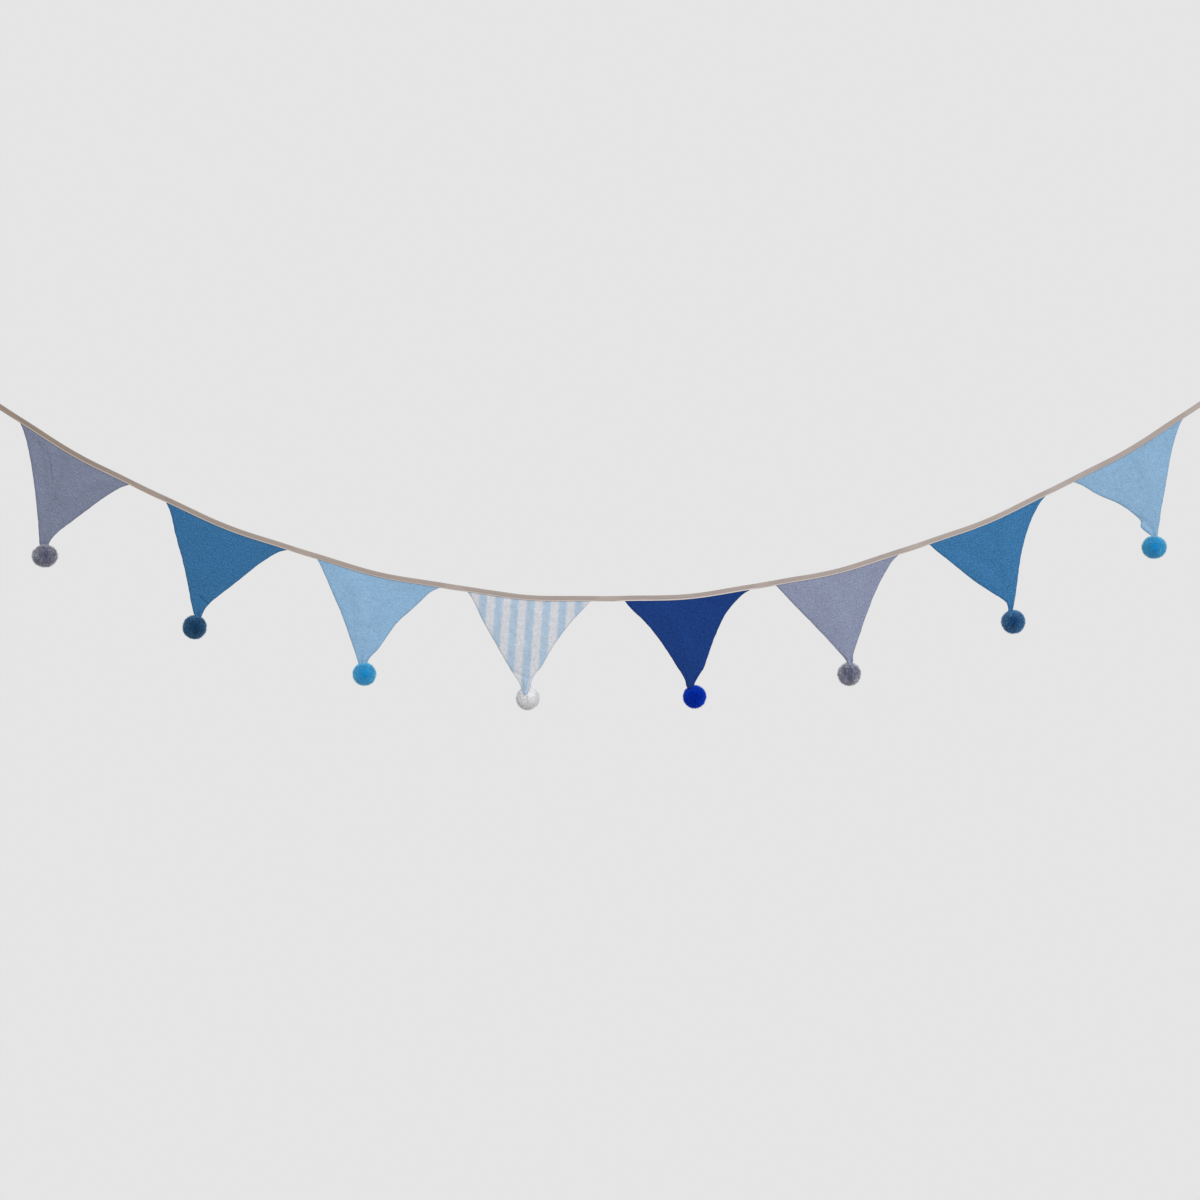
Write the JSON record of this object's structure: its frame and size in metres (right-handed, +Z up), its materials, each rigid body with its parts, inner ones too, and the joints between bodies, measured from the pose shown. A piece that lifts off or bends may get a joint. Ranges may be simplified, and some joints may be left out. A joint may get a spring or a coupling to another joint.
{
  "type": "fabric bunting",
  "caption": "Hanging cotton bunting: pointed flags of crinkled cloth sewn into a folded tape that hangs in a shallow curve, each with a yarn pompom at its tip.",
  "frame": {"origin": "lowest point of the tape's top edge, in the middle of the tape's thickness", "axes": "+Z up, +X along the tape to the viewer's right, +Y away from the viewer: the front faces -Y"},
  "size_m": [1.8646, 0.0431, 0.482],
  "materials": {
    "tape_beige": "folded cotton tape, matt plain weave",
    "cloth_grey_blue": "crinkled cotton gauze, matt",
    "cloth_denim_blue": "crinkled cotton gauze, matt",
    "cloth_light_blue": "crinkled cotton gauze, matt",
    "cloth_striped": "crinkled cotton gauze with white and light blue stripes, matt",
    "cloth_navy": "crinkled cotton gauze, matt",
    "yarn_grey": "cut yarn pile, matt",
    "yarn_dark_teal": "cut yarn pile, matt",
    "yarn_turquoise": "cut yarn pile, matt",
    "yarn_white": "cut yarn pile, matt",
    "yarn_royal_blue": "cut yarn pile, matt"
  },
  "bodies": {
    "root": {"tape": "tape_beige", "flag_1": "cloth_grey_blue", "pompom_1": "yarn_grey", "flag_2": "cloth_denim_blue", "pompom_2": "yarn_dark_teal", "flag_3": "cloth_light_blue", "pompom_3": "yarn_turquoise", "flag_4": "cloth_striped", "pompom_4": "yarn_white", "flag_5": "cloth_navy", "pompom_5": "yarn_royal_blue", "flag_6": "cloth_grey_blue", "pompom_6": "yarn_grey", "flag_7": "cloth_denim_blue", "pompom_7": "yarn_dark_teal", "flag_8": "cloth_light_blue", "pompom_8": "yarn_turquoise"}
  },
  "joints": []
}
